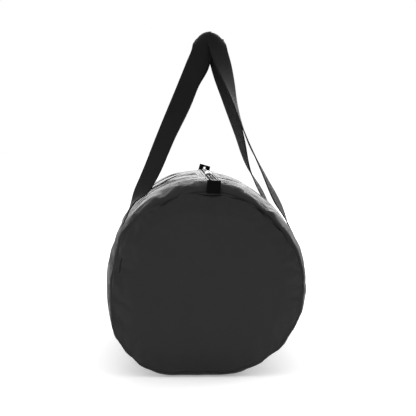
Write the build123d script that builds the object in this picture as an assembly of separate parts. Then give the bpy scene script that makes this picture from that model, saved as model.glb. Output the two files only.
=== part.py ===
"""Barrel duffel bag, standing filled on its flat base with both carry handles held up.

Millimetres, +Z up, +Y from the front end to the rear end, +X to the right of someone who faces
the front end. The origin is on the floor, under the middle of the barrel.
Every sub-part is written to parts/NAME.step.
"""

import os
from math import cos, radians, sin, tan

from build123d import *

# ---------------------------------------------------------------- driving dimensions
# filled barrel
barrel_radius = 144.0  # crown and sides of the filled cross-section, outside
axis_above_base = 140.0  # less than the radius: the base is pressed flat
barrel_length = 550.0  # over the outside faces of the two end panels
left_corner_radius = 95.0  # the load has settled to the left, so this side is fuller
right_corner_radius = 130.0
fabric_thick = 1.6  # coated cloth with its lining
shoulder_radius = 12.0  # barrel panel turning in to the end seam
roll = 3.5  # degrees that the zip sits to the right of the crown

# seam tape inside each end
binding_thick = 3.0
binding_depth = 10.0
binding_inset = 2.0  # from the end seam, inwards

# webbing
handle_width = 32.0
handle_thick = 1.8
band_spacing = 300.0  # between the centre lines of the two bands
leave_angle = 62.0  # degrees down from the crown, where the handles leave the barrel
hinge_gap = 0.3  # between the moving webbing and the barrel
bend_room = 2.4  # from the moving webbing down to the band, so that the handle can fold out
fold_radius = 9.0  # of its centre line over the top of the loop
fold_bend = 64.0  # degrees that each leg turns through there
left_loop_rise = 299.3  # from the hinge up to the middle of the webbing at the top
right_loop_rise = 297.8
left_loop_tilt = 31.0  # degrees to the right
right_loop_tilt = -37.0
loops_middle = 12.2  # between the two loops where they hang side by side at the top
loops_gap = 3.0

# zip
slot_width = 14.0  # between the two hems
slot_end_gap = 20.0  # from the end panels to the ends of the slot
tape_width = 18.0
tape_thick = 0.8
coil_width = 3.6
coil_height = 2.4
tape_overrun = 6.0  # tape under each end of the slot
stop_length = 3.0
stop_gap = 1.0  # from the stops to the ends of the slot
hem_to_stitch = 2.5

# slider and its pull
slider_length = 16.0
slider_gap = 1.0  # between the two closed sliders
wing_thick = 1.4
slide_gap = 0.3
flange_thick = 1.2
post_thick = 0.6
post_length = 4.0
crown_width = 3.0
crown_length = 10.0
crown_wall = 1.4
crown_window = 2.0  # height under the crown
crown_top = 1.2
pin_radius = 0.8
pull_width = 8.0
pull_length = 28.0
pull_thick = 1.4
pull_arm = 1.5
pull_room = 2.5  # past the end of the crown
pull_hole = 3.2

# end tabs
tab_width = 20.0
tab_thick = 2.4
tab_height = 18.4  # from foot to fold
front_tab_drop = 17.8  # from the crown down to the foot
rear_tab_drop = 11.0
rear_tab_lean = 13.0  # degrees to the right of upright, as sewn
eyelet_bore = 2.0  # radius
eyelet_wall = 0.6
eyelet_rim = 1.4  # how far the lips reach past the wall
eyelet_lip = 0.5
eyelet_below_fold = 4.8

# box stitching on the bands, below each handle
stitch_height = 0.4
stitch_line = 0.9
stitch_length = 34.0
stitch_margin = 3.0  # from the edge of the webbing
stitch_drop = 6.0  # from the hinge to the top of the box

# ---------------------------------------------------------------- worked out
base_height = handle_thick  # the bands run under the barrel
axis_height = base_height + axis_above_base
half_length = barrel_length / 2
half_band = band_spacing / 2
hinge_reach = barrel_radius + hinge_gap + handle_thick / 2
hinge_x = hinge_reach * sin(radians(leave_angle))
hinge_z = hinge_reach * cos(radians(leave_angle))  # above the barrel's axis
slot_length = barrel_length - 2 * slot_end_gap
coil_gap = post_thick + 2 * slide_gap  # way through for the slider's post
chain_width = 2 * coil_width + coil_gap
coil_length = slot_length - 2 * (stop_length + stop_gap)
tape_top = barrel_radius - fabric_thick
coil_top = tape_top + coil_height
wing_bottom = coil_top + slide_gap
wing_top = wing_bottom + wing_thick
pin_height = wing_top + crown_window / 2
slider_width = chain_width + 2 * (slide_gap + flange_thick)
slider_step = (slider_length + slider_gap) / 2
pull_eye = crown_length / 2 + pull_room
eyelet_barrel = eyelet_bore + eyelet_wall
eyelet_flange = eyelet_barrel + eyelet_rim
front_tab_foot = barrel_radius - front_tab_drop  # above the barrel's axis
rear_tab_foot = barrel_radius - rear_tab_drop
REACH = 4 * barrel_radius  # longer than anything that is cut

# Each leg of a handle, from its hinge up, in two lists. Low down, where it swings clear of the
# barrel: how far it has flared outside the line in which it left, height above the hinge, and how
# far the webbing's face has turned from sideways (0) to endways (90). Higher up: share of the way
# across to the top of its loop, height above the hinge, and turn.
LEFT_FRONT = (
    [(3.8, 35.8, 3)],
    [
        (0.329, 81.8, 40),
        (0.529, 136.8, 62),
        (0.728, 193.8, 78),
        (0.904, 249.8, 88),
        (0.968, 276.8, 84),
    ],
)
LEFT_REAR = (
    [(1.8, 35.8, 10), (-2.9, 58.8, 55)],
    [
        (0.361, 81.8, 58),
        (0.545, 136.8, 62),
        (0.744, 193.8, 76),
        (0.952, 249.8, 88),
        (0.976, 276.8, 84),
    ],
)
RIGHT_FRONT = (
    [(2.8, 35.8, 0)],
    [
        (0.366, 81.8, 11),
        (0.612, 136.8, 13),
        (0.789, 193.8, 24),
        (0.926, 249.8, 46),
        (0.975, 276.8, 52),
    ],
)
RIGHT_REAR = (
    [(1.8, 35.8, 0)],
    [
        (0.444, 81.8, 13),
        (0.631, 136.8, 29),
        (0.808, 193.8, 45),
        (0.946, 249.8, 62),
        (0.966, 276.8, 60),
    ],
)


# ---------------------------------------------------------------- barrel
def section(inset=0.0):
    """The filled barrel's outline, drawn in from the outside, about the barrel's axis."""
    radius = barrel_radius - inset
    left, right = left_corner_radius - inset, right_corner_radius - inset
    base = inset - axis_above_base
    outline = [
        CenterArc((0, 0), radius, 0, 180),
        Line((-radius, 0), (-radius, base + left)),
        CenterArc((left - radius, base + left), left, 180, 90),
        Line((left - radius, base), (radius - right, base)),
        CenterArc((radius - right, base + right), right, 270, 90),
        Line((radius, base + right), (radius, 0)),
    ]
    return Plane.XZ * make_face(outline)


def run(face, low, high):
    """A face in the XZ plane, run along Y from low to high."""
    return Pos(0, high, 0) * extrude(face, high - low)


def rounded_run(inset):
    """The barrel's outline at an inset, closed by flat ends with rounded shoulders."""
    block = run(section(inset), inset - half_length, half_length - inset)
    ends = block.faces().filter_by(Axis.Y)
    return fillet(ends.edges(), shoulder_radius - inset)


def on_axis(shape):
    """Lifts a shape drawn about the barrel's axis to its height over the floor."""
    return Pos(0, 0, axis_height) * shape


def at_zip(shape):
    """Places a shape drawn at the crown, about the barrel's axis, on the rolled zip line."""
    return on_axis(Rot(0, roll, 0) * shape)


def crown_box(width, length, low, high, x=0.0, y=0.0):
    """A box at the crown: low and high are its heights above the barrel's axis."""
    return Pos(x, y, (low + high) / 2) * Box(width, length, high - low)


def end_disc():
    """The end panel's own cloth at the rear, flat between the rounded shoulders."""
    return run(section(shoulder_radius), half_length - fabric_thick, half_length)


def barrel_panel():
    """One wrap of cloth with its shoulders, slit along the crown for the zip."""
    shell = rounded_run(0) - rounded_run(fabric_thick)
    shell -= end_disc()
    shell -= mirror(end_disc(), Plane.XZ)
    slot = Rot(0, roll, 0) * crown_box(slot_width, slot_length, 0, REACH)
    return on_axis(shell - slot)


def end_binding():
    """Tape folded over the raw edges of the rear end seam, inside the bag."""
    outer = shoulder_radius + binding_inset
    ring = section(outer) - section(outer + binding_thick)
    top = half_length - fabric_thick
    return on_axis(run(ring, top - binding_depth, top))


# ---------------------------------------------------------------- zip
def crown_strip(low, high, x, width, length):
    """A strip bent to the crown, between two radii, centred at x across the zip."""
    ring = Plane.XZ * (Circle(high) - Circle(low))
    return run(ring, -length / 2, length / 2) & crown_box(width, length, 0, REACH, x=x)


def zip_tape(side):
    """Woven tape sewn under one hem, bent to the barrel's crown."""
    middle = side * (coil_gap + tape_width) / 2
    length = slot_length + 2 * tape_overrun
    return at_zip(crown_strip(tape_top - tape_thick, tape_top, middle, tape_width, length))


def zip_coil(side):
    """One row of the chain, as a bar with a rounded back."""
    middle = side * (coil_gap + coil_width) / 2
    bar = crown_box(coil_width, coil_length, tape_top, coil_top, x=middle)
    back = bar.edges().filter_by(Axis.Y).group_by(Axis.Z)[-1]
    return at_zip(fillet(back, coil_width / 4))


def zip_stops():
    """The crimps that close both ends of the chain."""
    middle = (coil_length + stop_length) / 2
    stops = [crown_box(chain_width, stop_length, tape_top, coil_top, y=y) for y in (-middle, middle)]
    return Compound(children=[at_zip(stop) for stop in stops])


def zip_stitches():
    """The line of thread beside each hem."""
    outer = barrel_radius + stitch_height
    middle = slot_width / 2 + hem_to_stitch
    lines = [
        crown_strip(barrel_radius, outer, side * middle, stitch_line, slot_length)
        for side in (-1, 1)
    ]
    return Compound(children=[at_zip(line) for line in lines])


def slider_body():
    """Two wings joined by a post, flanges round the chain, and a crown for the pull."""
    under = tape_top - tape_thick - slide_gap
    body = crown_box(post_thick, post_length, under, wing_bottom)
    for low in (wing_bottom, under - wing_thick):
        wing = crown_box(slider_width, slider_length, low, low + wing_thick)
        body += fillet(wing.edges().filter_by(Axis.Z), slider_width / 4)
    flange_x = (slider_width - flange_thick) / 2
    flange_length = slider_length - slider_width / 2
    for side in (-1, 1):
        low = tape_top + slide_gap
        body += crown_box(flange_thick, flange_length, low, wing_bottom, x=side * flange_x)
    arch_top = wing_top + crown_window + crown_top
    arch = crown_box(crown_width, crown_length, wing_top, arch_top)
    arch = fillet(arch.edges().filter_by(Axis.X).group_by(Axis.Z)[-1], crown_top)
    window_length = crown_length - 2 * crown_wall
    window = crown_box(crown_width, window_length, wing_top, wing_top + crown_window)
    return body + (arch - window)


def pull_tab():
    """Round cross pin under the crown, two arms beside it and a flat tab with a hole."""
    pin_length = crown_width + 2 * slide_gap + 2 * pull_arm
    pin = Pos(0, 0, pin_height) * Rot(0, 90, 0) * Cylinder(pin_radius, pin_length)
    low, high = pin_height - pull_thick / 2, pin_height + pull_thick / 2
    middle = -(pull_length + pull_eye) / 2
    tab = crown_box(pull_width, pull_length - pull_eye, low, high, y=middle)
    tab = fillet(tab.edges().filter_by(Axis.Z), pull_width / 4)
    hole = Cylinder(pull_hole / 2, 2 * pull_thick)
    tab -= Pos(0, pull_width / 2 - pull_length, pin_height) * hole
    pull = pin + tab
    arm_length = pull_eye + pull_width / 4
    for side in (-1, 1):
        x = side * (pin_length - pull_arm) / 2
        pull += crown_box(pull_arm, arm_length, low, high, x=x, y=-arm_length / 2)
    return pull


# ---------------------------------------------------------------- end tabs
def end_tab(foot):
    """Short webbing, folded and sewn flat, standing up from the rear end seam."""
    y = half_length + tab_thick / 2
    tab = crown_box(tab_width, tab_thick, foot, foot + tab_height, y=y)
    return fillet(tab.edges().filter_by(Axis.X).group_by(Axis.Z)[-1], tab_thick / 2 - 0.1)


def drilled(radius, length):
    """A bar along Y through the rear tab, where the eyelet goes."""
    middle = rear_tab_foot + tab_height - eyelet_below_fold
    return Pos(0, half_length + tab_thick / 2, middle) * Rot(90, 0, 0) * Cylinder(radius, length)


def at_rear_tab(shape):
    """Leans a shape with the rear tab, about the tab's middle."""
    middle = rear_tab_foot + tab_height / 2
    return at_zip(Pos(0, 0, middle) * Rot(0, rear_tab_lean, 0) * Pos(0, 0, -middle) * shape)


def tab_eyelet():
    """Rolled metal eyelet with a lip on each face of the rear tab."""
    over = tab_thick + 2 * eyelet_lip
    lips = drilled(eyelet_flange, over) - drilled(eyelet_flange, tab_thick)
    return lips + drilled(eyelet_barrel, over) - drilled(eyelet_bore, over)


# ---------------------------------------------------------------- sewn webbing
def wrap(low, high, width=handle_width, shift=0.0):
    """A skin round the barrel at the rear band, between two distances outside the barrel."""
    start, end = half_band + shift - width / 2, half_band + shift + width / 2
    return run(section(-high), start, end) - run(section(-low), start, end)


def below_hinge(drop):
    """A block that holds all of the barrel below the hinge, less a drop along the side."""
    angle = radians(leave_angle) + drop / barrel_radius
    corners = [
        (0, 0),
        (REACH * sin(angle), REACH * cos(angle)),
        (REACH, -REACH),
        (-REACH, -REACH),
        (-REACH * sin(angle), REACH * cos(angle)),
    ]
    return run(Plane.XZ * make_face(Polyline(*corners, close=True)), -half_length, half_length)


def strap_band():
    """Webbing sewn round the barrel at the rear, from one handle to the other."""
    return on_axis(wrap(0, handle_thick) & below_hinge(handle_thick / 2 + bend_room))


def edge_stitches():
    """The line of thread along each edge of the rear band, down to the base."""
    edge = handle_width / 2 - stitch_margin
    block = below_hinge(stitch_drop + stitch_length + stitch_margin)
    block -= Pos(0, 0, -axis_above_base - handle_thick - REACH / 2) * Box(3 * REACH, REACH, REACH)
    lines = [
        wrap(handle_thick, handle_thick + stitch_height, stitch_line, shift) & block
        for shift in (-edge, edge)
    ]
    return [on_axis(line) for line in lines]


def box_stitch():
    """A frame of raised thread on the right side of the rear band, under the handle."""
    width = handle_width - 2 * stitch_margin + stitch_line
    outer = below_hinge(stitch_drop) - below_hinge(stitch_drop + stitch_length)
    inner = below_hinge(stitch_drop + stitch_line)
    inner -= below_hinge(stitch_drop + stitch_length - stitch_line)
    right = Pos(REACH / 2, half_band, 0) * Box(REACH, width, 2 * REACH)
    middle = Pos(REACH / 2, half_band, 0) * Box(REACH, width - 2 * stitch_line, 2 * REACH)
    skin = wrap(handle_thick, handle_thick + stitch_height)
    return on_axis(skin & ((outer & right) - (inner & middle)))


def four_ways(shape):
    """A shape and its copies at the other side and the other end."""
    pair = [shape, mirror(shape, Plane.YZ)]
    return pair + [mirror(half, Plane.XZ) for half in pair]


# ---------------------------------------------------------------- handles
def fold_line(side, rise, tilt):
    """Centre, run and width of the webbing over the top of a loop, from front to rear."""
    across = Vector(cos(radians(tilt)), 0, sin(radians(tilt)))
    x = loops_middle + side * (loops_gap + handle_width * across.X) / 2
    top = hinge_z + rise
    line = []
    for swing in (-fold_bend, -fold_bend / 2, 0, fold_bend / 2, fold_bend):
        bend = radians(swing)
        centre = Vector(x, fold_radius * sin(bend), top + fold_radius * (cos(bend) - 1))
        line.append((centre, Vector(0, cos(bend), -sin(bend)), across))
    return line


def leg_line(side, end, leg, fold):
    """Centre, run and width of one leg, from its hinge up to where the fold begins."""
    lean = radians(leave_angle)
    centres = [Vector(side * hinge_x, end * half_band, hinge_z)]
    low, high = leg
    reach = fold.X - side * hinge_x
    low = [(side * (flare - rise / tan(lean)) / reach, rise, turn) for flare, rise, turn in low]
    stations = low + high
    for share, rise, turn in stations:
        x = centres[0].X + (fold.X - centres[0].X) * share
        y = centres[0].Y + (fold.Y - centres[0].Y) * rise / (fold.Z - hinge_z)
        centres.append(Vector(x, y, hinge_z + rise))
    centres.append(fold)
    line = [(centres[0], Vector(-side * cos(lean), 0, sin(lean)), Vector(0, side, 0))]
    for n, (share, rise, turn) in enumerate(stations, 1):
        along = (centres[n + 1] - centres[n - 1]).normalized()
        face = Vector(side * cos(radians(turn)), end * sin(radians(turn)), 0)
        line.append((centres[n], along, along.cross(face).normalized()))
    return line


def handle(side, front, rear, rise, tilt):
    """A loop of webbing from the front band to the rear band, lying flat over its top."""
    fold = fold_line(side, rise, tilt)
    front_leg = leg_line(side, -1, front, fold[0][0])
    rear_leg = [(c, -along, -across) for c, along, across in leg_line(side, 1, rear, fold[-1][0])]
    rings = []
    for centre, along, across in front_leg + fold + rear_leg[::-1]:
        square_on = (along - across * along.dot(across)).normalized()
        plane = Plane(origin=centre, x_dir=across, z_dir=square_on)
        rings.append(plane * Rectangle(handle_width, handle_thick))
    strap = loft(rings, ruled=True)
    for y in (-half_band, half_band):
        knuckle = Rot(90, 0, 0) * Cylinder(handle_thick / 2, handle_width)
        strap += Pos(side * hinge_x, y, hinge_z) * knuckle
    return on_axis(strap)


# ---------------------------------------------------------------- all nodes
def nodes():
    """Every sub-part by name, in place."""
    made = {"barrel_panel": barrel_panel()}
    for name, shape in (
        ("end_panel", on_axis(end_disc())),
        ("end_binding", end_binding()),
        ("strap_band", strap_band()),
    ):
        made[name + "_rear"] = shape
        made[name + "_front"] = mirror(shape, Plane.XZ)
    for name, side in (("left", -1), ("right", 1)):
        made["zip_tape_" + name] = zip_tape(side)
        made["zip_coil_" + name] = zip_coil(side)
    made["zip_stops"] = zip_stops()
    made["zip_stitches"] = zip_stitches()
    slider, pull = slider_body(), pull_tab()
    made["slider_front"] = at_zip(Pos(0, -slider_step, 0) * slider)
    made["slider_rear"] = at_zip(Pos(0, slider_step, 0) * slider)
    made["pull_front"] = at_zip(Pos(0, -slider_step, 0) * pull)
    made["pull_rear"] = at_zip(Pos(0, slider_step, 0) * mirror(pull, Plane.XZ))
    made["tab_front"] = at_zip(mirror(end_tab(front_tab_foot), Plane.XZ))
    rear_tab = end_tab(rear_tab_foot) - drilled(eyelet_barrel, 2 * tab_thick)
    made["tab_rear"] = at_rear_tab(rear_tab)
    made["tab_eyelet"] = at_rear_tab(tab_eyelet())
    stitches = edge_stitches()
    stitches += [mirror(line, Plane.XZ) for line in stitches]
    made["band_stitches"] = Compound(children=stitches)
    made["box_stitches"] = Compound(children=four_ways(box_stitch()))
    made["handle_left"] = handle(-1, LEFT_FRONT, LEFT_REAR, left_loop_rise, left_loop_tilt)
    made["handle_right"] = handle(1, RIGHT_FRONT, RIGHT_REAR, right_loop_rise, right_loop_tilt)
    return made


os.makedirs("parts", exist_ok=True)
for node, shape in nodes().items():
    export_step(shape, f"parts/{node}.step")
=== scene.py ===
# %% [markdown]
# # A black barrel duffel bag
# The bag stands filled on the floor, with both carry handles held up. Its rigid frame comes from
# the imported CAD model. Here every soft piece is made again as cloth, webbing, thread or tape, in
# the same place and in metres, so nothing has to be fitted afterwards.

from math import atan2, ceil, cos, degrees, exp, hypot, pi, radians, sin

import bmesh
import bpy
import numpy as np
from mathutils import Matrix, Vector, noise


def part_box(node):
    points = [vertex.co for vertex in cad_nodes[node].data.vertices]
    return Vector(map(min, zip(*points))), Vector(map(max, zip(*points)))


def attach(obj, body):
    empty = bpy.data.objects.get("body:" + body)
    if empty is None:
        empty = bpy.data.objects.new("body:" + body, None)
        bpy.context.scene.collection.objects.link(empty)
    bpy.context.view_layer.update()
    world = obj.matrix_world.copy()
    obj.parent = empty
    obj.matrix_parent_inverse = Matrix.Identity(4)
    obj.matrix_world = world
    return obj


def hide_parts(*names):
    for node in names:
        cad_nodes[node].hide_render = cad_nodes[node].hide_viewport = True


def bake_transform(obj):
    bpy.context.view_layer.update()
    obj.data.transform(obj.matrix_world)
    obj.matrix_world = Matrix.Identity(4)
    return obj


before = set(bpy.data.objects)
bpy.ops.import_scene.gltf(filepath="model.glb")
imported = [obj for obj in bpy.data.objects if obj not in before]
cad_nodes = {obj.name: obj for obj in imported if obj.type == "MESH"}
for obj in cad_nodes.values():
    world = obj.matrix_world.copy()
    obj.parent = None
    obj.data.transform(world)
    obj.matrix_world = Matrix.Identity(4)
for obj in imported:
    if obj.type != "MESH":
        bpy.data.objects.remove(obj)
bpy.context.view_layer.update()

# %% [markdown]
# ## The camera
# The bag is seen end-on from a little above the top of the barrel, from over two metres away, so a
# long lens is used: it keeps the far end nearly as large as the near end. The camera is made with
# the add operator and turned towards a point on the near end.

# %% Camera
CAMERA_AT = Vector((-0.062, -2.345, 0.3678))
LOOKS_AT = Vector((0.0, -0.275, 0.2468))
bpy.ops.object.camera_add(location=CAMERA_AT)
camera = bpy.context.object
camera.rotation_euler = (LOOKS_AT - CAMERA_AT).to_track_quat("-Z", "Y").to_euler()
camera.data.lens = 124.4
camera.data.sensor_width = 36.0
bpy.context.scene.camera = camera
print("camera distance", round((LOOKS_AT - CAMERA_AT).length, 3))

# %% [markdown]
# ## Sizes that everything shares
# The barrel is a round bag pressed flat underneath. Its radius, its length and the height of its
# middle are read from the CAD wrap. The two lower corners differ, because the load has settled to
# the left. Millimetres are written as a number times MM.

# %% Barrel sizes
MM = 0.001
wrap_low, wrap_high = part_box("barrel_panel")
RADIUS = (wrap_high.x - wrap_low.x) / 2
HALF_LENGTH = wrap_high.y
AXIS = wrap_high.z - RADIUS
BASE = wrap_low.z - AXIS
LEFT_CORNER = 95 * MM
RIGHT_CORNER = 130 * MM
ROLL = radians(3.5)
BAND_AT = 150 * MM
BAND_WIDTH = 32 * MM
WEBBING_THICK = 1.8 * MM
LEAVE = radians(62)
print("radius", round(RADIUS, 4), "half length", round(HALF_LENGTH, 4), "axis", round(AXIS, 4))


# %% The outline of the filled section
def outline_steps():
    """The section clockwise from its crown, as arcs (centre, radius, angles) and lines."""
    right = (RADIUS - RIGHT_CORNER, BASE + RIGHT_CORNER)
    left = (LEFT_CORNER - RADIUS, BASE + LEFT_CORNER)
    return [
        ("arc", (0, 0), RADIUS, pi / 2, 0),
        ("line", (RADIUS, 0), (RADIUS, right[1]), (1, 0)),
        ("arc", right, RIGHT_CORNER, 0, -pi / 2),
        ("line", (right[0], BASE), (left[0], BASE), (0, -1)),
        ("arc", left, LEFT_CORNER, -pi / 2, -pi),
        ("line", (-RADIUS, left[1]), (-RADIUS, 0), (-1, 0)),
        ("arc", (0, 0), RADIUS, pi, pi / 2),
    ]


def step_length(step):
    """How long one arc or line of the outline is."""
    if step[0] == "arc":
        return step[2] * abs(step[4] - step[3])
    return hypot(step[2][0] - step[1][0], step[2][1] - step[1][1])


AROUND = sum(step_length(step) for step in outline_steps())


def on_outline(distance):
    """Point and outward direction on the section, at a distance clockwise from the crown."""
    distance %= AROUND
    for step in outline_steps():
        length = step_length(step)
        if distance <= length:
            break
        distance -= length
    share = min(distance / length, 1)
    if step[0] == "arc":
        angle = step[3] + (step[4] - step[3]) * share
        out = Vector((cos(angle), 0, sin(angle)))
        return Vector((step[1][0], 0, step[1][1] + AXIS)) + out * step[2], out
    x = step[1][0] + (step[2][0] - step[1][0]) * share
    z = step[1][1] + (step[2][1] - step[1][1]) * share
    return Vector((x, 0, z + AXIS)), Vector((step[3][0], 0, step[3][1]))


print("outline", round(AROUND, 4), "m around")

# %% [markdown]
# ## Helpers for operators
# An operator works on whatever is selected, so each piece starts with nothing selected. `apply`
# adds one modifier and applies it at once, and `place` puts a new set of points into a mesh.


# %% Operator helpers
def clear_selection():
    """Deselects everything."""
    bpy.ops.object.select_all(action="DESELECT")


def select_only(piece):
    """Makes one piece the selected and active one."""
    clear_selection()
    piece.select_set(True)
    bpy.context.view_layer.objects.active = piece


def apply(piece, kind, **values):
    """Adds a modifier with these values and applies it."""
    select_only(piece)
    modifier = piece.modifiers.new(kind.title(), kind)
    for name, value in values.items():
        setattr(modifier, name, value)
    bpy.ops.object.modifier_apply(modifier=modifier.name)


def points_of(piece):
    """All vertex places of a mesh as an array."""
    flat = np.zeros(len(piece.data.vertices) * 3)
    piece.data.vertices.foreach_get("co", flat)
    return flat.reshape(-1, 3)


def place(piece, points):
    """Moves the vertices of a mesh to these places."""
    piece.data.vertices.foreach_set("co", np.asarray(points, float).ravel())
    piece.data.update()


def finish_piece(piece, name, body, slot, material, *nodes):
    """Names a piece, gives it its material, hangs it on the body it rides on and hides the CAD
    parts it stands for.
    """
    piece.name = piece.data.name = name
    piece.data.materials.clear()
    piece.data.materials.append(material)
    if body:
        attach(piece, body)
    if nodes:
        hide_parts(*nodes)
    print(name, len(piece.data.vertices), "points,", len(piece.data.polygons), "faces")
    return piece


def sheet_of(columns, rows):
    """A flat grid of columns by rows of faces, and each vertex's column and row number."""
    clear_selection()
    bpy.ops.mesh.primitive_grid_add(x_subdivisions=columns, y_subdivisions=rows, size=1)
    piece = bpy.context.object
    flat = points_of(piece)
    column = np.rint((flat[:, 0] + 0.5) * columns).astype(int)
    row = np.rint((flat[:, 1] + 0.5) * rows).astype(int)
    return piece, column, row


# %% [markdown]
# ## Shader maths in plain Python
# A material is a graph of nodes. `Wire` wraps one socket, so that a sum or product written in
# Python adds the Math node for it. `Finish` is a material under construction.


# %% Wires and finishes
class Wire:
    """One node socket that can be used in Python sums."""

    def __init__(self, tree, socket):
        self.tree, self.socket = tree, socket

    def maths(self, operation, *values):
        """Adds one Math node with these values as its inputs."""
        node = self.tree.nodes.new("ShaderNodeMath")
        node.operation = operation
        for socket, value in zip(node.inputs, values):
            if isinstance(value, Wire):
                self.tree.links.new(value.socket, socket)
            else:
                socket.default_value = value
        return Wire(self.tree, node.outputs[0])

    def __add__(self, other):
        return self.maths("ADD", self, other)

    def __radd__(self, other):
        return self.maths("ADD", other, self)

    def __sub__(self, other):
        return self.maths("SUBTRACT", self, other)

    def __rsub__(self, other):
        return self.maths("SUBTRACT", other, self)

    def __mul__(self, other):
        return self.maths("MULTIPLY", self, other)

    def __rmul__(self, other):
        return self.maths("MULTIPLY", other, self)

    def sine(self):
        return self.maths("SINE", self)

    def size(self):
        return self.maths("ABSOLUTE", self)


class Finish:
    """A material under construction, with its Principled shader."""

    def __init__(self, name, **constants):
        self.material = bpy.data.materials.new(name)
        self.material.use_nodes = True
        self.tree = self.material.node_tree
        self.shader = self.tree.nodes["Principled BSDF"]
        for socket, value in constants.items():
            self.shader.inputs[socket.replace("_", " ")].default_value = value

    def node(self, kind, settings=None, out=0, **inputs):
        """Adds one node: its settings first, then values or wires for its sockets."""
        node = self.tree.nodes.new("ShaderNode" + kind)
        for name, value in (settings or {}).items():
            setattr(node, name, value)
        for name, value in inputs.items():
            socket = node.inputs[name.replace("_", " ")]
            if isinstance(value, Wire):
                self.tree.links.new(value.socket, socket)
            else:
                socket.default_value = value
        return Wire(self.tree, node.outputs[out])

    def feed(self, socket, wire):
        """Links a wire to one of the shader's sockets."""
        self.tree.links.new(wire.socket, self.shader.inputs[socket])

    def place(self, kind="Object"):
        """The point on the piece: Object for its place in metres, UV for along the webbing."""
        return self.node("TexCoord", out=kind)

    def axes(self, point):
        """The three numbers of a point."""
        return [self.node("SeparateXYZ", out=n, Vector=point) for n in range(3)]

    def speckle(self, point, scale, detail=3.0, stretch=(1, 1, 1)):
        """Soft noise from 0 to 1 at a scale in features per metre, stretched along the axes."""
        scaled = self.node("Mapping", {"vector_type": "POINT"}, Vector=point, Scale=stretch)
        return self.node("TexNoise", Vector=scaled, Scale=scale, Detail=detail)

    def shades(self, amount, dark, light):
        """A colour between two greys."""
        low, high = (dark, dark, dark, 1), (light, light, light, 1)
        ramp = self.tree.nodes.new("ShaderNodeMix")
        ramp.data_type = "RGBA"
        self.tree.links.new(amount.socket, ramp.inputs[0])
        ramp.inputs[6].default_value = low
        ramp.inputs[7].default_value = high
        return Wire(self.tree, ramp.outputs[2])

    def relief(self, *layers):
        """Bumps from (height wire, distance in metres, strength) layers, coarse to fine."""
        normal = None
        for height, distance, strength in layers:
            values = {"Height": height, "Distance": distance, "Strength": strength}
            if normal:
                values["Normal"] = normal
            normal = self.node("Bump", **values)
        self.feed("Normal", normal)


# %% [markdown]
# ## The shell's cloth
# The wrap and the ends are a coated black polyester with a soft satin face. Seen at a low angle
# over the crown it shines almost white, and square on it is nearly black. Three layers of relief
# are used: shallow creases that run round the barrel, small crumples, and the weave itself.

# %% Shell cloth finish
SATIN = {"Roughness": 0.4, "Specular_IOR_Level": 0.26}
THREADS_PER_METRE = 1700


def shell_cloth(name, creased):
    """The satin cloth; creased adds the long folds that run round the barrel."""
    cloth = Finish(name, **SATIN)
    point = cloth.place()
    x, y, z = cloth.axes(point)
    mottle = cloth.speckle(point, 22, 4)
    crumple = cloth.speckle(point, 60, 3)
    weave = (x * (2 * THREADS_PER_METRE)).sine() * (y * (2 * THREADS_PER_METRE)).sine()
    if not creased:
        weave = (x * (2 * THREADS_PER_METRE)).sine() * (z * (2 * THREADS_PER_METRE)).sine()
    cloth.feed("Base Color", cloth.shades(mottle, 0.003, 0.007))
    cloth.feed("Roughness", 0.36 + mottle * 0.14)
    layers = [(crumple, 0.6 * MM, 0.35), (weave, 0.05 * MM, 0.25)]
    if creased:
        folds = cloth.speckle(point, 9, 3, stretch=(0.5, 2.6, 0.5))
        layers.insert(0, (folds, 6 * MM, 0.5))
    cloth.relief(*layers)
    return cloth.material


wrap_cloth = shell_cloth("wrap_cloth", True)
end_cloth = shell_cloth("end_cloth", False)

# %% [markdown]
# ## The webbing
# The handles are polypropylene webbing: flat, matt, and ribbed by its weave. Each strip of webbing
# carries a UV map in metres, across and along, so the same weave follows every twist.


# %% Webbing finish
def woven(name, dark, light, roughness, gloss=0.12, pitch=2.2 * MM, depth=0.25 * MM):
    """Ribbed weave on a strip whose UV map runs across and along in metres."""
    strap = Finish(name, Roughness=roughness, Specular_IOR_Level=gloss)
    across, along, _ = strap.axes(strap.place("UV"))
    chevron = ((across * (2 * pi / (4 * pitch))).sine() * 1.2 + along * (2 * pi / pitch)).sine()
    cords = (across * (2 * pi / pitch)).sine()
    ribs = chevron * 0.6 + cords * 0.4
    fibre = strap.speckle(strap.place(), 900, 2)
    dust = strap.speckle(strap.place(), 35, 4)
    shade = ribs * 0.18 + fibre * 0.3 + dust * 0.45
    strap.feed("Base Color", strap.shades(shade, dark, light))
    strap.relief((ribs, depth, 0.7), (fibre, 0.15 * MM, 0.35))
    return strap.material


webbing_weave = woven("webbing_weave", 0.002, 0.010, 0.6, 0.09)
tab_weave = woven("tab_weave", 0.0008, 0.004, 0.75, 0.04, pitch=1.6 * MM, depth=0.18 * MM)
tape_weave = woven("tape_weave", 0.012, 0.03, 0.5, 0.5, pitch=1.0 * MM, depth=0.1 * MM)
binding_weave = woven("binding_weave", 0.006, 0.02, 0.8, pitch=1.2 * MM, depth=0.12 * MM)

# %% [markdown]
# ## Thread, coil and metal
# Thread is twisted, so it has a fine slanted relief. The zip's coil is nylon, a little glossy. The
# slider, its pull and the eyelet are plated metal with fine brushing and worn, brighter patches.


# %% Small finishes
def thread_finish():
    """Black polyester thread with its twist."""
    thread = Finish("thread", Roughness=0.55)
    x, y, z = thread.axes(thread.place())
    twist = ((x + y + z) * (2 * pi / (0.7 * MM))).sine()
    thread.feed("Base Color", thread.shades(twist * 0.5 + 0.5, 0.006, 0.03))
    thread.relief((twist, 0.08 * MM, 0.5))
    return thread.material


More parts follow.
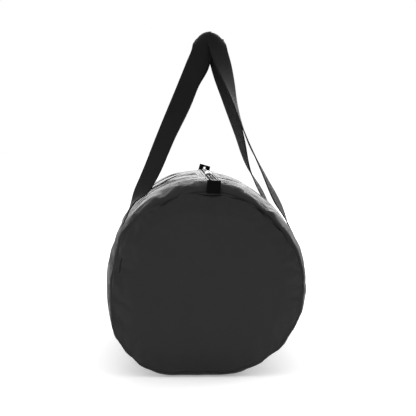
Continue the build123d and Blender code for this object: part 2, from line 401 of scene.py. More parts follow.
def coil_finish():
    """Nylon monofilament, smooth with faint drawing lines."""
    coil = Finish("coil_nylon", Roughness=0.32)
    grain = coil.speckle(coil.place(), 1500, 2, stretch=(1, 0.2, 1))
    coil.feed("Base Color", coil.shades(grain, 0.008, 0.03))
    coil.feed("Roughness", 0.25 + grain * 0.2)
    coil.relief((grain, 0.04 * MM, 0.3))
    return coil.material


def metal_finish(name, dark, light):
    """Plated metal with fine brushing, between two greys."""
    metal = Finish(name, Metallic=1.0, Roughness=0.25)
    brushed = metal.speckle(metal.place(), 2500, 3, stretch=(1, 0.05, 1))
    wear = metal.speckle(metal.place(), 260, 4)
    metal.feed("Base Color", metal.shades(wear, dark, light))
    metal.feed("Roughness", 0.16 + brushed * 0.16 + wear * 0.1)
    metal.relief((brushed, 0.03 * MM, 0.3))
    return metal.material


thread_black = thread_finish()
coil_nylon = coil_finish()
nickel_plate = metal_finish("nickel_plate", 0.34, 0.6)
black_oxide = metal_finish("black_oxide", 0.02, 0.06)

# %% [markdown]
# ## The wrap of the barrel
# One sheet of cloth goes round the bag from hem to hem of the zip. It starts as a flat grid that
# is rolled round the section in code, because the bend operators need a window. The sheet is cut a
# little too big, then blown up as Cloth: the sewn lines hold, and the spare cloth between them
# gathers into real puckers and folds.

# %% The line of the end seam
SLOT_HALF = 7 * MM
SLOT_END = HALF_LENGTH - 20 * MM
SEAM_AT = HALF_LENGTH - 3 * MM
# The seam's inset from the outline, by degrees clockwise from the crown: the top has slumped.
SEAM_DEGREES = [-180, -110, -96, -88, -80, -70, -60, -50, -27, -8, 0, 14, 35, 50, 64, 90, 120, 180]
SEAM_INSETS = [5, 4, 5, 9, 12, 9, 7, 8, 14, 19, 20, 18, 13, 11, 8, 7, 5, 5]
# Just left of the front tab the end cloth pushes up in a small lobe: degrees, degrees and mm.
LOBE_AT, LOBE_SPREAD, LOBE_RISE = -11.5, 5.0, 9.0
# Wobble of the seam: wide and narrow waves across it, and its sway along the bag, all in mm.
SEAM_WIDE, SEAM_NARROW, SEAM_SWAY = 2.4, 1.5, 2.6


def degrees_round(distance):
    """Degrees clockwise from the crown, from -180 to 180, for a distance round the section."""
    point, _ = on_outline(distance)
    return degrees(atan2(point.x, point.z - AXIS))


def ripple(distance, end, pitch, seed):
    """Soft noise from about -1 to 1 that runs round the section and closes on itself."""
    point, _ = on_outline(distance)
    scale = 1 / pitch
    return noise.noise(Vector((point.x * scale, point.z * scale, 3.7 * end + seed)))


def seam_inset(distance, end):
    """How far inside the smooth outline the end seam lies."""
    smooth = np.interp(degrees_round(distance), SEAM_DEGREES, SEAM_INSETS)
    wide = SEAM_WIDE * ripple(distance, end, 34 * MM, 0)
    wobble = wide + SEAM_NARROW * ripple(distance, end, 15 * MM, 5)
    lobe = exp(-(((degrees_round(distance) - LOBE_AT) / LOBE_SPREAD) ** 2)) if end < 0 else 0
    return (smooth + wobble - LOBE_RISE * lobe) * MM


def seam_depth(distance, end):
    """How far from the middle of the bag the end seam lies."""
    return SEAM_AT + SEAM_SWAY * MM * ripple(distance, end, 24 * MM, 9)


# %% Where the filled shape has slumped
def slump(turn, y):
    """Inwards shift of the outline near an end, by degrees from the crown and place along it."""
    near = np.clip((abs(y) - 172 * MM) / (70 * MM), 0, 1)
    near = near * near * (3 - 2 * near)
    side = 1.0 if y < 0 else 0.6
    right = 6.5 * np.exp(-(((turn - 48) / 24) ** 2))
    left = -2.8 * np.exp(-(((turn + 72) / 28) ** 2))
    return (right * side + left) * near * MM


# %% Roll the sheet
WRAP_COLUMNS = 258
WRAP_ROWS = 158
SHOULDER_ROWS = 7
zip_middle = RADIUS * ROLL


def wrap_column_places():
    """Distances round the section of the sheet's columns, from the middle of the zip."""
    inner = np.linspace(SLOT_HALF, AROUND - SLOT_HALF, WRAP_COLUMNS - 1)
    return np.concatenate([[0.0], inner, [AROUND]])


def wrap_row_places(distance):
    """Place along the bag and inset from the outline, for every row of one column."""
    turn = np.linspace(0, pi / 2, SHOULDER_ROWS + 1)[:-1]
    ends = []
    for end in (-1, 1):
        deep, inset = seam_depth(distance, end), seam_inset(distance, end)
        shoulder = 7 * MM + 0.5 * inset
        edge_y = deep - shoulder * (1 - np.cos(turn))
        edge_in = inset * (1 - np.sin(turn))
        ends.append((deep - shoulder, edge_y, edge_in))
    (front, front_y, front_in), (rear, rear_y, rear_in) = ends
    middle = np.linspace(-front, rear, WRAP_ROWS + 1 - 2 * SHOULDER_ROWS)
    y = np.concatenate([-front_y, middle, rear_y[::-1]])
    return y, np.concatenate([front_in, 0 * middle, rear_in[::-1]])


wrap, wrap_column, wrap_row = sheet_of(WRAP_COLUMNS, WRAP_ROWS)
column_place = wrap_column_places()
column_rows = [wrap_row_places(zip_middle + d) for d in column_place]
row_y = np.array([y for y, _ in column_rows])
row_inset = np.array([inset for _, inset in column_rows])
rim = [on_outline(zip_middle + d) for d in column_place]
rim_point = np.array([p for p, _ in rim])
rim_out = np.array([o for _, o in rim])
rim_turn = np.array([degrees_round(zip_middle + d) for d in column_place])
wrap_out = rim_out[wrap_column]
wrap_y = row_y[wrap_column, wrap_row]
wrap_in = row_inset[wrap_column, wrap_row]
wrap_in = wrap_in + [slump(rim_turn[c], y) for c, y in zip(wrap_column, wrap_y)]
wrap_start = rim_point[wrap_column] - wrap_out * wrap_in[:, None]
wrap_start[:, 1] = wrap_y

# The sheet starts this far inside the outline, which leaves room for it to swell.
SWELL_ROOM = 3.5 * MM


def crease(point):
    """How far the cloth stands off its smooth outline, in metres, from soft layered noise."""
    x, y, z = point
    long_fold = noise.noise(Vector((x * 4, y * 19, z * 4)))
    short_fold = noise.noise(Vector((x * 11 + 7, y * 44, z * 11)))
    return (5.4 * long_fold + 2.0 * short_fold) * MM


def gather(point, y):
    """Small folds square to the end seam, that fade away from it."""
    x, _, z = point
    fade = np.exp(-max(SEAM_AT - abs(y), 0) / (32 * MM))
    wave = noise.noise(Vector((x * 58, z * 58, 2.0 * np.sign(y))))
    wide = noise.noise(Vector((x * 21, z * 21, 5.0 * np.sign(y))))
    return (4.8 * wave + 4.0 * wide) * fade * MM


past_seam = np.abs(wrap_y)
free_share = np.clip((SEAM_AT - past_seam - 1 * MM) / (9 * MM), 0, 1)
band_gap = np.abs(past_seam - BAND_AT) - BAND_WIDTH / 2
off_band = np.clip(band_gap / (16 * MM), 0, 1)
hem_gap = np.minimum(column_place, AROUND - column_place) - SLOT_HALF
off_hem = np.clip(hem_gap / (14 * MM), 0, 1)
off_floor = np.clip((rim_point[:, 2] - AXIS - BASE - 2 * MM) / (14 * MM), 0, 1)
freedom = free_share * off_band * (off_hem * off_floor)[wrap_column]
lift = np.array([crease(p) + gather(p, p[1]) for p in wrap_start]) - SWELL_ROOM
place(wrap, wrap_start + wrap_out * (lift * freedom)[:, None])
print("sheet rolled:", len(wrap_start), "points, fold height", round(float(np.ptp(lift)), 4))

# %% [markdown]
# The two long edges now meet on the zip's line. They are merged where the cloth is closed past
# the ends of the zip, and the faces over the zip itself are deleted.


# %% Cut the zip slot
def cut_slot(piece, column, row):
    """Deletes the faces between the hems and merges the sheet's edges past the slot."""
    mesh = bmesh.new()
    mesh.from_mesh(piece.data)
    mesh.verts.ensure_lookup_table()
    over = []
    for face in mesh.faces:
        middle = face.calc_center_median()
        beside = [column[v.index] for v in face.verts]
        if abs(middle.y) < SLOT_END and (min(beside) == 0 or max(beside) == WRAP_COLUMNS):
            over.append(face)
    bmesh.ops.delete(mesh, geom=over, context="FACES")
    loose = [v for v in mesh.verts if not v.link_faces]
    bmesh.ops.delete(mesh, geom=loose, context="VERTS")
    bmesh.ops.remove_doubles(mesh, verts=mesh.verts, dist=0.01 * MM)
    mesh.to_mesh(piece.data)
    mesh.free()


freedom_layer = wrap.data.attributes.new("freedom", "FLOAT", "POINT")
freedom_layer.data.foreach_set("value", freedom.astype(np.float32))
cut_slot(wrap, wrap_column, wrap_row)
print("wrap after the slot is cut:", len(wrap.data.vertices), "points")


# %% Blow the cloth up
def blow_up(piece, free, frames, pressure, spare, cap):
    """Cloth with pressure, held where free is 0; no point moves by more than cap."""
    start = points_of(piece)
    group = piece.vertex_groups.new(name="sewn")
    for index, share in enumerate(free):
        if share < 1:
            group.add([index], float(1 - share) ** 2, "REPLACE")
    select_only(piece)
    cloth = piece.modifiers.new("Cloth", "CLOTH")
    rules = cloth.settings
    rules.quality = 4
    rules.mass = 0.25
    rules.tension_stiffness = rules.compression_stiffness = 12
    rules.shear_stiffness = 4
    rules.bending_stiffness = 0.12
    rules.vertex_group_mass = "sewn"
    rules.use_pressure = True
    rules.uniform_pressure_force = pressure
    rules.shrink_min = rules.shrink_max = -spare
    rules.effector_weights.gravity = 0
    cloth.collision_settings.use_collision = False
    cloth.point_cache.frame_start, cloth.point_cache.frame_end = 1, frames
    for number in range(1, frames + 1):
        bpy.context.scene.frame_set(number)
    bpy.ops.object.modifier_apply(modifier=cloth.name)
    bpy.context.scene.frame_set(1)
    piece.vertex_groups.clear()
    moved = points_of(piece) - start
    far = np.linalg.norm(moved, axis=1)
    keep = np.minimum(1, cap / np.maximum(far, 1e-9))
    place(piece, start + moved * keep[:, None])
    mean, most = round(far.mean() * 1000, 2), round(far.max() * 1000, 2)
    print(piece.name, "blown up: mean", mean, "mm, most", most)


wrap_free = np.zeros(len(wrap.data.vertices), np.float32)
wrap.data.attributes["freedom"].data.foreach_get("value", wrap_free)
wrap.data.attributes.remove(wrap.data.attributes["freedom"])
blow_up(wrap, wrap_free, frames=22, pressure=2.2, spare=0.02, cap=6.5 * MM)
CLOTH_CLEAR = 0.6 * MM
rested = points_of(wrap)
rested[:, 2] = np.maximum(rested[:, 2], CLOTH_CLEAR)
place(wrap, rested)

# %% Give the wrap its thickness
CLOTH_THICK = 1.2 * MM
apply(wrap, "SOLIDIFY", thickness=CLOTH_THICK, offset=-1.0, use_even_offset=False)
select_only(wrap)
bpy.ops.object.shade_smooth_by_angle(angle=radians(50))
finish_piece(wrap, "wrap", "bag", "shell_fabric", wrap_cloth, "barrel_panel")

# %% [markdown]
# ## The end panels
# Each end is a flat piece of cloth sewn inside the wrap's edge, so the seam sits in a groove. A
# square grid is spread to fill the outline, because a grid has no crowded middle for cloth to
# fold round. It is then blown up in the same way as the wrap.

# %% Spread a grid over the end
END_FACES = 84
END_DOME = 4 * MM


def seam_rim(end):
    """Polar angle, distance from the axis, and depth of the end seam all the way round."""
    places = np.linspace(0, AROUND, 900, endpoint=False)
    rows = []
    for place_round in places:
        point, out = on_outline(place_round)
        deep = seam_depth(place_round, end)
        inset = seam_inset(place_round, end) + slump(degrees_round(place_round), end * deep)
        seam = point - out * (inset + 0.2 * MM)
        up = seam.z - AXIS
        rows.append((atan2(up, seam.x), hypot(seam.x, up), deep))
    return np.array(sorted(rows)).T


def end_panel(end):
    """One end of the bag: end is -1 at the front and 1 at the rear."""
    piece, column, row = sheet_of(END_FACES, END_FACES)
    u = 2 * column / END_FACES - 1
    v = 2 * row / END_FACES - 1
    x, z = u * np.sqrt(1 - v * v / 2), v * np.sqrt(1 - u * u / 2)
    angle = np.arctan2(z, x)
    rim_angle, rim_reach, rim_deep = seam_rim(end)
    reach = np.interp(angle, rim_angle, rim_reach, period=2 * pi)
    deep = np.interp(angle, rim_angle, rim_deep, period=2 * pi)
    share = np.hypot(x, z)
    to_rim = (1 - share) * RADIUS
    fade = np.exp(-to_rim / (13 * MM)) * np.clip(to_rim / (3 * MM), 0, 1)
    spots = np.stack([x, z, 0 * x + 3.0 * end], axis=1)
    pucker = np.array([noise.noise(Vector(spot * (6, 6, 1))) for spot in spots])
    small = np.array([noise.noise(Vector(spot * (15, 15, 2))) for spot in spots])
    inward = np.minimum(1, to_rim / (14 * MM))
    middle = SEAM_AT + 2.5 * MM + END_DOME * (1 - share**2)
    swell = deep + (middle - deep) * np.sin(inward * pi / 2)
    y = swell + (3.2 * pucker + 2.2 * small) * fade * MM
    points = np.stack([x * reach, end * y, AXIS + z * reach], axis=1)
    place(piece, points)
    if end > 0:
        piece.data.flip_normals()
    piece.name = "end"
    blow_up(piece, np.clip((to_rim - 0.5 * MM) / (9 * MM), 0, 1), 20, 1.2, 0.008, 4 * MM)
    apply(piece, "SUBSURF", levels=1, render_levels=1)
    apply(piece, "SOLIDIFY", thickness=CLOTH_THICK, offset=-1.0, use_even_offset=False)
    select_only(piece)
    bpy.ops.object.shade_smooth()
    return piece


for end, side in ((-1, "front"), (1, "rear")):
    panel = end_panel(end)
    finish_piece(panel, "end_" + side, "bag", "shell_fabric", end_cloth, "end_panel_" + side)

# %% [markdown]
# ## Strips of webbing
# Bands, handles, tabs and tapes are all flat strips that follow a line and twist on the way. A
# strip is a grid whose rows are laid across the line. Between the few stations that shape it, the
# line is smoothed by a spline through them, and the UV map is set to metres across and along.


# %% A strip along a line
def smooth_line(stations, spacing):
    """A smooth line through stations of point, direction across and, where it has one, curl."""
    curls = [station[2] if len(station) > 2 else 0 for station in stations]
    values = [[*station[0], *station[1], curl] for station, curl in zip(stations, curls)]
    values = np.array(values, float)
    values = np.vstack([2 * values[0] - values[1], values, 2 * values[-1] - values[-2]])
    rows = []
    for n in range(1, len(values) - 2):
        a, b, c, d = values[n - 1 : n + 3]
        span = np.linalg.norm(c[:3] - b[:3])
        before, after = np.linalg.norm(b[:3] - a[:3]), np.linalg.norm(d[:3] - c[:3])
        leave = span * ((b - a) / before * span + (c - b) / span * before) / (before + span)
        arrive = span * ((d - c) / after * span + (c - b) / span * after) / (after + span)
        for t in np.arange(ceil(span / spacing)) / ceil(span / spacing):
            h = (2 * t**3 - 3 * t**2 + 1, t**3 - 2 * t**2 + t, 3 * t**2 - 2 * t**3, t**3 - t**2)
            rows.append(h[0] * b + h[1] * leave + h[2] * c + h[3] * arrive)
    rows.append(values[-2])
    rows = np.array(rows)
    centre, across, curl = rows[:, :3], rows[:, 3:6], rows[:, 6]
    along = np.gradient(centre, axis=0)
    along /= np.linalg.norm(along, axis=1)[:, None]
    across -= along * np.sum(across * along, axis=1)[:, None]
    across /= np.linalg.norm(across, axis=1)[:, None]
    return centre, across, along, curl


def strip(stations, width, thick, spacing=4 * MM, columns=8, cup=0.0, soft=0.35):
    """A woven strip along stations; cup lifts its middle, soft rounds its edges."""
    centre, across, along, curl = smooth_line(stations, spacing)
    piece, column, row = sheet_of(columns, len(centre) - 1)
    part = column / columns - 0.5
    normal = np.cross(across, along)
    bend = np.maximum(curl, 0.001)[row]
    points = centre[row] + across[row] * (np.sin(part * bend) * width / bend)[:, None]
    arch = (np.cos(part * bend) - np.cos(bend / 3)) * width / bend
    points += normal[row] * (arch + cup * (1 - 4 * part**2))[:, None]
    place(piece, points)
    run = np.concatenate([[0], np.cumsum(np.linalg.norm(np.diff(centre, axis=0), axis=1))])
    uv = piece.data.uv_layers.active.data
    for loop in piece.data.loops:
        v = loop.vertex_index
        uv[loop.index].uv = (part[v] * width, run[row[v]])
    apply(piece, "SOLIDIFY", thickness=thick, offset=0.0, use_even_offset=True)
    edge = {"limit_method": "ANGLE", "angle_limit": radians(50)}
    apply(piece, "BEVEL", width=thick * soft, segments=2, **edge)
    select_only(piece)
    bpy.ops.object.shade_smooth_by_angle(angle=radians(40))
    return piece


# %% [markdown]
# ## The two webbing loops
# Each loop is one length of webbing. It starts under the base, runs up the front band, leaves the
# barrel as a handle, comes down to the rear band and ends under the base again, where the two
# loops meet. The piece rides on no body, and its transform is baked into its mesh.

# %% Handle stations
HINGE_REACH = RADIUS + 0.3 * MM + WEBBING_THICK / 2
HINGE_RISE = HINGE_REACH * cos(LEAVE)
HINGE_X = HINGE_REACH * sin(LEAVE)
FOLD_RADIUS = 9 * MM
FOLD_BEND = 64
# Across, height above the barrel's axis and turn of the webbing's face, up each leg.
LEFT_FRONT = [
    (-112, 102, 16), (-98, 123, 44), (-88, 142, 54), (-61, 205, 64), (-36, 262, 80),
    (-13, 318, 88), (-2.5, 345, 88)
]
LEFT_REAR = [
    (-111, 104, 10), (-94, 127, 48), (-83, 150, 58), (-59, 205, 64), (-33, 262, 78),
    (-20, 295, 85), (-4, 325, 88), (0, 346, 88)
]
RIGHT_FRONT = [
    (112, 104, 26), (91, 150, 18), (66, 205, 11), (48, 262, 22), (38, 300, 44), (31, 324, 58),
    (24.5, 346, 66)
]
RIGHT_REAR = [
    (107, 104, 0), (81, 150, 13), (64, 205, 29), (46, 262, 45), (28, 322, 64), (23, 343, 68)
]
# Across, height of the top, tilt to the right and curl of each loop.
LEFT_LOOP = (-0.5, 369, 34, 72)
RIGHT_LOOP = (22.3, 367.5, -36, 72)


def fold_stations(loop):
    """The webbing lying over the top of its loop, from front to rear."""
    x, top, tilt, curl = loop
    across = Vector((cos(radians(tilt)), 0, sin(radians(tilt))))
    stations = []
    for swing in (-FOLD_BEND, -FOLD_BEND / 2, 0, FOLD_BEND / 2, FOLD_BEND):
        bend = radians(swing)
        rise = top * MM + FOLD_RADIUS * (cos(bend) - 1) + AXIS
        centre = Vector((x * MM, FOLD_RADIUS * sin(bend), rise))
        stations.append((centre, across, radians(curl)))
    return stations


def leg_stations(side, end, leg, fold):
    """One leg from its hinge up, with the direction across the webbing at each station."""
    start = Vector((side * HINGE_X, end * BAND_AT, AXIS + HINGE_RISE))
    centres = [start]
    for x, z, _ in leg:
        share = (z * MM - HINGE_RISE) / (fold.z - start.z)
        y = end * BAND_AT + (fold.y - end * BAND_AT) * share
        centres.append(Vector((x * MM, y, AXIS + z * MM)))
    centres.append(fold)
    stations = [(start, Vector((0, side, 0)))]
    for n, (_, _, turn) in enumerate(leg, 1):
        along = (centres[n + 1] - centres[n - 1]).normalized()
        face = Vector((side * cos(radians(turn)), end * sin(radians(turn)), 0))
        stations.append((centres[n], along.cross(face).normalized()))
    return stations


# The bands lie on the floor side of the base; this keeps their cupped face above the floor.
BAND_CLEAR = 0.6 * MM


def band_stations(side, end):
    """The webbing on the barrel, from under the base up to just below the hinge."""
    high = RADIUS * (LEAVE + radians(5))
    stations = []
    for distance in np.linspace(AROUND / 2, high, 16):
        point, out = on_outline(side * distance)
        point = point + out * (WEBBING_THICK / 2 + 0.05 * MM)
        rise = max(point.z, WEBBING_THICK / 2 + BAND_CLEAR)
        stations.append((Vector((point.x, end * BAND_AT, rise)), Vector((0, side, 0))))
    return stations


# %% Lay the webbing loops
def webbing_loop(side, front, rear, loop):
    """One closed run of webbing: band, handle and band again."""
    fold = fold_stations(loop)
    up = band_stations(side, -1) + leg_stations(side, -1, front, fold[0][0])
    down = band_stations(side, 1) + leg_stations(side, 1, rear, fold[-1][0])
    stations = up + fold + [(point, -across) for point, across in down[::-1]]
    return strip(stations, BAND_WIDTH, WEBBING_THICK, cup=0.3 * MM)


def blend_at_hinge(piece):
    """Bakes the piece's transform into its mesh."""
    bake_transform(piece)


left_webbing = webbing_loop(-1, LEFT_FRONT, LEFT_REAR, LEFT_LOOP)
finish_piece(
    left_webbing, "webbing_left", None, "webbing", webbing_weave, "handle_left", "strap_band_front"
)
blend_at_hinge(left_webbing)
right_webbing = webbing_loop(1, RIGHT_FRONT, RIGHT_REAR, RIGHT_LOOP)
finish_piece(
    right_webbing, "webbing_right", None, "webbing", webbing_weave,
    "handle_right", "strap_band_rear",
)
blend_at_hinge(right_webbing)

# %% [markdown]
# ## The zip
# Two woven tapes lie under the hems, and each carries a coil of small teeth along its inner edge.
# One tooth is modelled from a low sphere and copied along the zip by an Array modifier.


# %% Zip tapes
def at_crown(x, height, y):
    """A point beside the zip: across it, height over the barrel's axis, and along the bag."""
    across = Vector((cos(ROLL), 0, -sin(ROLL)))
    out = Vector((sin(ROLL), 0, cos(ROLL)))
    return Vector((0, y, AXIS)) + across * x + out * height


TAPE_TOP = RADIUS - 1.6 * MM
TAPE_WIDTH = 18 * MM
COIL_WIDTH = 3.6 * MM
COIL_HEIGHT = 2.4 * MM
COIL_GAP = 1.2 * MM
crown_across = Vector((cos(ROLL), 0, -sin(ROLL)))
for side, name in ((-1, "left"), (1, "right")):
    tape_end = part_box("zip_tape_" + name)[1].y
    middle = side * (COIL_GAP + TAPE_WIDTH) / 2
    line = [
        (at_crown(middle, TAPE_TOP - 0.9 * MM, y), crown_across)
        for y in np.linspace(-tape_end, tape_end, 8)
    ]
    tape = strip(line, TAPE_WIDTH, 0.7 * MM, spacing=12 * MM, cup=-0.3 * MM)
    finish_piece(tape, "tape_" + name, "bag", "zip_tape", tape_weave, "zip_tape_" + name)


# %% Zip teeth
TOOTH_PITCH = 1.5 * MM


def tooth():
    """One turn of the coil: a low round bead, pinched towards its head."""
    clear_selection()
    bpy.ops.mesh.primitive_uv_sphere_add(segments=8, ring_count=5, radius=0.5)
    piece = bpy.context.object
    points = points_of(piece)
    pinch = 1 + 0.35 * points[:, 0]
    points[:, 1] *= pinch * 1.15 * MM
    points[:, 0] *= COIL_WIDTH
    points[:, 2] *= COIL_HEIGHT
    place(piece, points)
    return piece


for side, name in ((-1, "left"), (1, "right")):
    low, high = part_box("zip_coil_" + name)
    count = int((high.y - low.y) / TOOTH_PITCH)
    row = tooth()
    start = at_crown(side * (COIL_GAP + COIL_WIDTH) / 2, TAPE_TOP + COIL_HEIGHT / 2, low.y)
    shift = start + Vector((0, TOOTH_PITCH * (0.5 if side > 0 else 0.9), 0))
    turn = Matrix.Rotation(ROLL, 4, "Y") @ Matrix.Scale(-side, 4, (1, 0, 0))
    row.data.transform(Matrix.Translation(shift) @ turn)
    apply(
        row,
        "ARRAY",
        count=count,
        use_relative_offset=False,
        use_constant_offset=True,
        constant_offset_displace=(0, TOOTH_PITCH, 0),
    )
    if side > 0:
        row.data.flip_normals()
    select_only(row)
    bpy.ops.object.shade_smooth()
    finish_piece(row, "teeth_" + name, "bag", "zip_coil", coil_nylon, "zip_coil_" + name)

# %% [markdown]
# ## Metal pieces
# The sliders, pulls, end stops and the eyelet are rigid, and their CAD shapes are right, so they
# stay and only take the plated finish.

# %% Finish for the metal nodes
for name in ("slider_front", "slider_rear", "pull_front", "pull_rear", "zip_stops", "tab_eyelet"):
    node = cad_nodes[name]
    node.data.materials.clear()
    node.data.materials.append(black_oxide if name == "tab_eyelet" else nickel_plate)

# %% [markdown]
# ## The end tabs
# A short piece of narrow webbing is folded in half and sewn in at the top of each end. It is a
# strip that goes up, over a tight fold and down again. The rear one leans, and has an eyelet.


# %% Tabs
def folded_tab(end, foot, height, lean, width=20 * MM):
    """Webbing folded over at the top, standing up from the end seam."""
    y = end * (HALF_LENGTH + 1.2 * MM)
    layer = 0.62 * MM
    middle = foot + height / 2

    def at(depth, rise):
        leaned = Matrix.Rotation(lean, 3, "Y") @ Vector((0, 0, rise - middle))
        return at_crown(leaned.x, middle + leaned.z, y + depth)

    across = Matrix.Rotation(lean + ROLL, 3, "Y") @ Vector((1, 0, 0))
    top = foot + height - layer
    line = [(at(-end * -layer, r), across) for r in np.linspace(foot, top, 5)]
    for angle in (45, 90, 135):
        a = radians(angle)
        line.append((at(end * layer * cos(a), top + layer * sin(a)), across))
    line += [(at(-end * layer, r), across) for r in np.linspace(top, foot, 5)]
    return strip(line, width, 1.05 * MM, spacing=1.2 * MM)


front_tab = folded_tab(-1, 126.2 * MM, 18.4 * MM, 0)
finish_piece(front_tab, "tab_front_webbing", "bag", "tab_webbing", tab_weave, "tab_front")
rear_tab = folded_tab(1, 133 * MM, 18.4 * MM, radians(13))
eye_low, eye_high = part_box("tab_eyelet")
clear_selection()
bpy.ops.mesh.primitive_cylinder_add(
    vertices=32,
    radius=2.6 * MM,
    depth=20 * MM,
    location=(eye_low + eye_high) / 2,
    rotation=(pi / 2, 0, 0),
)
punch = bpy.context.object
apply(rear_tab, "BOOLEAN", operation="DIFFERENCE", object=punch, solver="EXACT")
bpy.data.objects.remove(punch)
finish_piece(rear_tab, "tab_rear_webbing", "bag", "tab_webbing", tab_weave, "tab_rear")

# %% [markdown]
# ## Tape inside the end seams
# The raw edges inside each end are covered by a folded tape. It can only be seen with the zip
# open, and it is one more strip, laid round the inside of the section.

# %% Seam tape
for end, side in ((-1, "front"), (1, "rear")):
    low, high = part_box("end_binding_" + side)
    line = []
    for distance in np.linspace(0, AROUND, 60):
        point, out = on_outline(AROUND / 2 + distance)
        point = point - out * 15.5 * MM
        line.append((Vector((point.x, (low.y + high.y) / 2, point.z)), Vector((0, 1, 0))))
    tape = strip(line, high.y - low.y, 2.6 * MM, spacing=12 * MM, soft=0.45)
    finish_piece(
        tape, "seam_tape_" + side, "bag", "binding_tape", binding_weave, "end_binding_" + side
    )

# %% [markdown]
# ## Stitches
# Every line of stitching is made of single stitches: short, round-ended bits of thread that dip
# into the cloth at both ends. One stitch is modelled and its copies are joined into one piece per
# seam, each with only a few dozen faces.

# %% One stitch and its copies
STITCH_PITCH = 3.4 * MM
STITCH_LENGTH = 2.9 * MM
STITCH_WIDE = 0.9 * MM
STITCH_HIGH = 0.8 * MM


def stitch_shape():
    """Points and faces of one stitch, lying along X with its back up."""
    clear_selection()
    bpy.ops.mesh.primitive_uv_sphere_add(segments=10, ring_count=5, radius=0.5)
    piece = bpy.context.object
    piece.data.transform(Matrix.Rotation(pi / 2, 4, "Y"))
    piece.data.transform(Matrix.Diagonal((STITCH_LENGTH, STITCH_WIDE, STITCH_HIGH, 1)))
    points = points_of(piece)
    faces = [list(face.vertices) for face in piece.data.polygons]
    bpy.data.objects.remove(piece)
    return points, faces


def sewn(spots):
    """Stitches at spots of (point, direction along, direction out), as one piece."""
    shape, faces = stitch_shape()
    points, all_faces = [], []
    for point, along, out in spots:
        beside = out.cross(along).normalized()
        axes = np.array([along.normalized(), beside, along.cross(beside).normalized()])
        start = len(points) * len(shape)
        points.append(shape @ axes + np.array(point))
        all_faces += [[start + v for v in face] for face in faces]
    mesh = bpy.data.meshes.new("stitches")
    mesh.from_pydata(np.vstack(points).tolist(), [], all_faces)
    piece = bpy.data.objects.new("stitches", mesh)
    bpy.context.scene.collection.objects.link(piece)
    select_only(piece)
    bpy.ops.object.mode_set(mode="EDIT")
    bpy.ops.mesh.select_all(action="SELECT")
    bpy.ops.mesh.normals_make_consistent(inside=False)
    bpy.ops.object.mode_set(mode="OBJECT")
    bpy.ops.object.shade_smooth()
    return piece


# Height of a stitch's middle above the webbing or the floor.
STITCH_CLEAR = 0.3 * MM


def band_point(side, drop, shift, end):
    """A spot on a band: drop below the hinge along the webbing, shift across it."""
    point, out = on_outline(side * (RADIUS * LEAVE + drop))
    point = point + out * (WEBBING_THICK + STITCH_CLEAR)
    ahead, _ = on_outline(side * (RADIUS * LEAVE + drop + MM))
    behind, _ = on_outline(side * (RADIUS * LEAVE + drop - MM))
    spot = Vector((point.x, end * BAND_AT + shift, max(point.z, STITCH_CLEAR)))
    return spot, ahead - behind, out


# %% Sew the boxes, the bands and the hems
BOX_TOP = 6 * MM
BOX_LENGTH = 34 * MM
EDGE = BAND_WIDTH / 2 - 3 * MM
four_corners = [(side, end) for side in (-1, 1) for end in (-1, 1)]
boxes, edges, hems = [], [], []
for side, end in four_corners:
    for drop in np.arange(BOX_TOP, BOX_TOP + BOX_LENGTH, STITCH_PITCH):
        for shift in (-EDGE, EDGE):
            boxes.append(band_point(side, drop + STITCH_PITCH / 2, shift, end))
    for shift in np.arange(-EDGE, EDGE - MM, STITCH_PITCH):
        for drop in (BOX_TOP, BOX_TOP + BOX_LENGTH):
            spot, _, out = band_point(side, drop, shift + STITCH_PITCH / 2, end)
            boxes.append((spot, Vector((0, 1, 0)), out))
    for share in np.arange(0.07, 0.96, 0.085):
        for slant in (-1, 1):
            drop = BOX_TOP + BOX_LENGTH * share
            spot, down, out = band_point(side, drop, slant * EDGE * (2 * share - 1), end)
            reach = Vector((0, slant * 2 * EDGE / BOX_LENGTH, 0))
            boxes.append((spot, down.normalized() + reach, out))
    bottom = AROUND / 2 - RADIUS * LEAVE - 45 * MM
    for drop in np.arange(BOX_TOP + BOX_LENGTH + 4 * MM, bottom, STITCH_PITCH):
        for shift in (-EDGE, EDGE):
            edges.append(band_point(side, drop, shift, end))
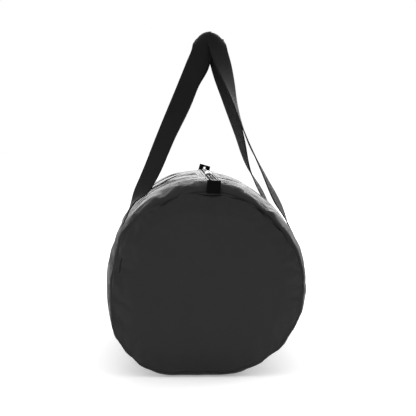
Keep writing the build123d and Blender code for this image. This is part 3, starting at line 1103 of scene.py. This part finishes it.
for side in (-1, 1):
    for y in np.arange(-SLOT_END, SLOT_END, STITCH_PITCH):
        if abs(y) > SLOT_END:
            continue
        angle = ROLL + side * (SLOT_HALF + 2.5 * MM) / RADIUS
        out = Vector((sin(angle), 0, cos(angle)))
        spot = Vector((0, y, AXIS)) + out * (RADIUS + 0.25 * MM)
        hems.append((spot, Vector((0, 1, 0)), out))
for spots, name, node in (
    (boxes, "stitches_box", "box_stitches"),
    (edges, "stitches_band", "band_stitches"),
    (hems, "stitches_hem", "zip_stitches"),
):
    finish_piece(sewn(spots), name, "bag", "thread", thread_black, node)
    print(name, len(spots), "stitches")

# %% [markdown]
# ## Floor and light
# The floor is a wide, flat, pale sheet, which also glows a little: painted light that lifts the
# bag's shadow on it and lights the bag from below. The light is soft: a white surround, a large
# softbox above and behind, whose reflection draws the bright crown, and a smaller one at each
# side.

# %% Floor
clear_selection()
bpy.ops.mesh.primitive_plane_add(size=30, location=(0, 0, 0))
floor = bpy.context.object
floor.name = "floor"
glowing_floor = Finish("floor_with_painted_glow", Roughness=0.95)
glowing_floor.feed("Base Color", glowing_floor.shades(glowing_floor.speckle(glowing_floor.place(), 3, 2), 0.78, 0.82))
# The floor's glow is painted light: it brightens the floor and the bag's shadow on it, and lights
# the bag from below.
glowing_floor.shader.inputs["Emission Color"].default_value = (1, 1, 1, 1)
glowing_floor.shader.inputs["Emission Strength"].default_value = 0.32
floor.data.materials.append(glowing_floor.material)

# %% Light
bpy.context.scene.view_settings.view_transform = "Standard"
world = bpy.data.worlds.new("surround")
bpy.context.scene.world = world
world.use_nodes = True
world.node_tree.nodes["Background"].inputs["Color"].default_value = (1, 1, 1, 1)
world.node_tree.nodes["Background"].inputs["Strength"].default_value = 1.0


def softbox(name, at, towards, size, power):
    """A square area light turned towards a point."""
    clear_selection()
    bpy.ops.object.light_add(type="AREA", location=at)
    light = bpy.context.object
    light.name = name
    light.data.size = size
    light.data.energy = power
    light.rotation_euler = (Vector(towards) - Vector(at)).to_track_quat("-Z", "Y").to_euler()


softbox("softbox_back", (0.2, 3.2, 1.9), (0, 0, 0.25), 3.0, 105)
softbox("softbox_left", (-2.8, -0.2, 0.9), (0, 0, 0.2), 1.4, 20)
softbox("softbox_right", (2.6, 1.4, 1.3), (0, 0, 0.25), 1.6, 34)
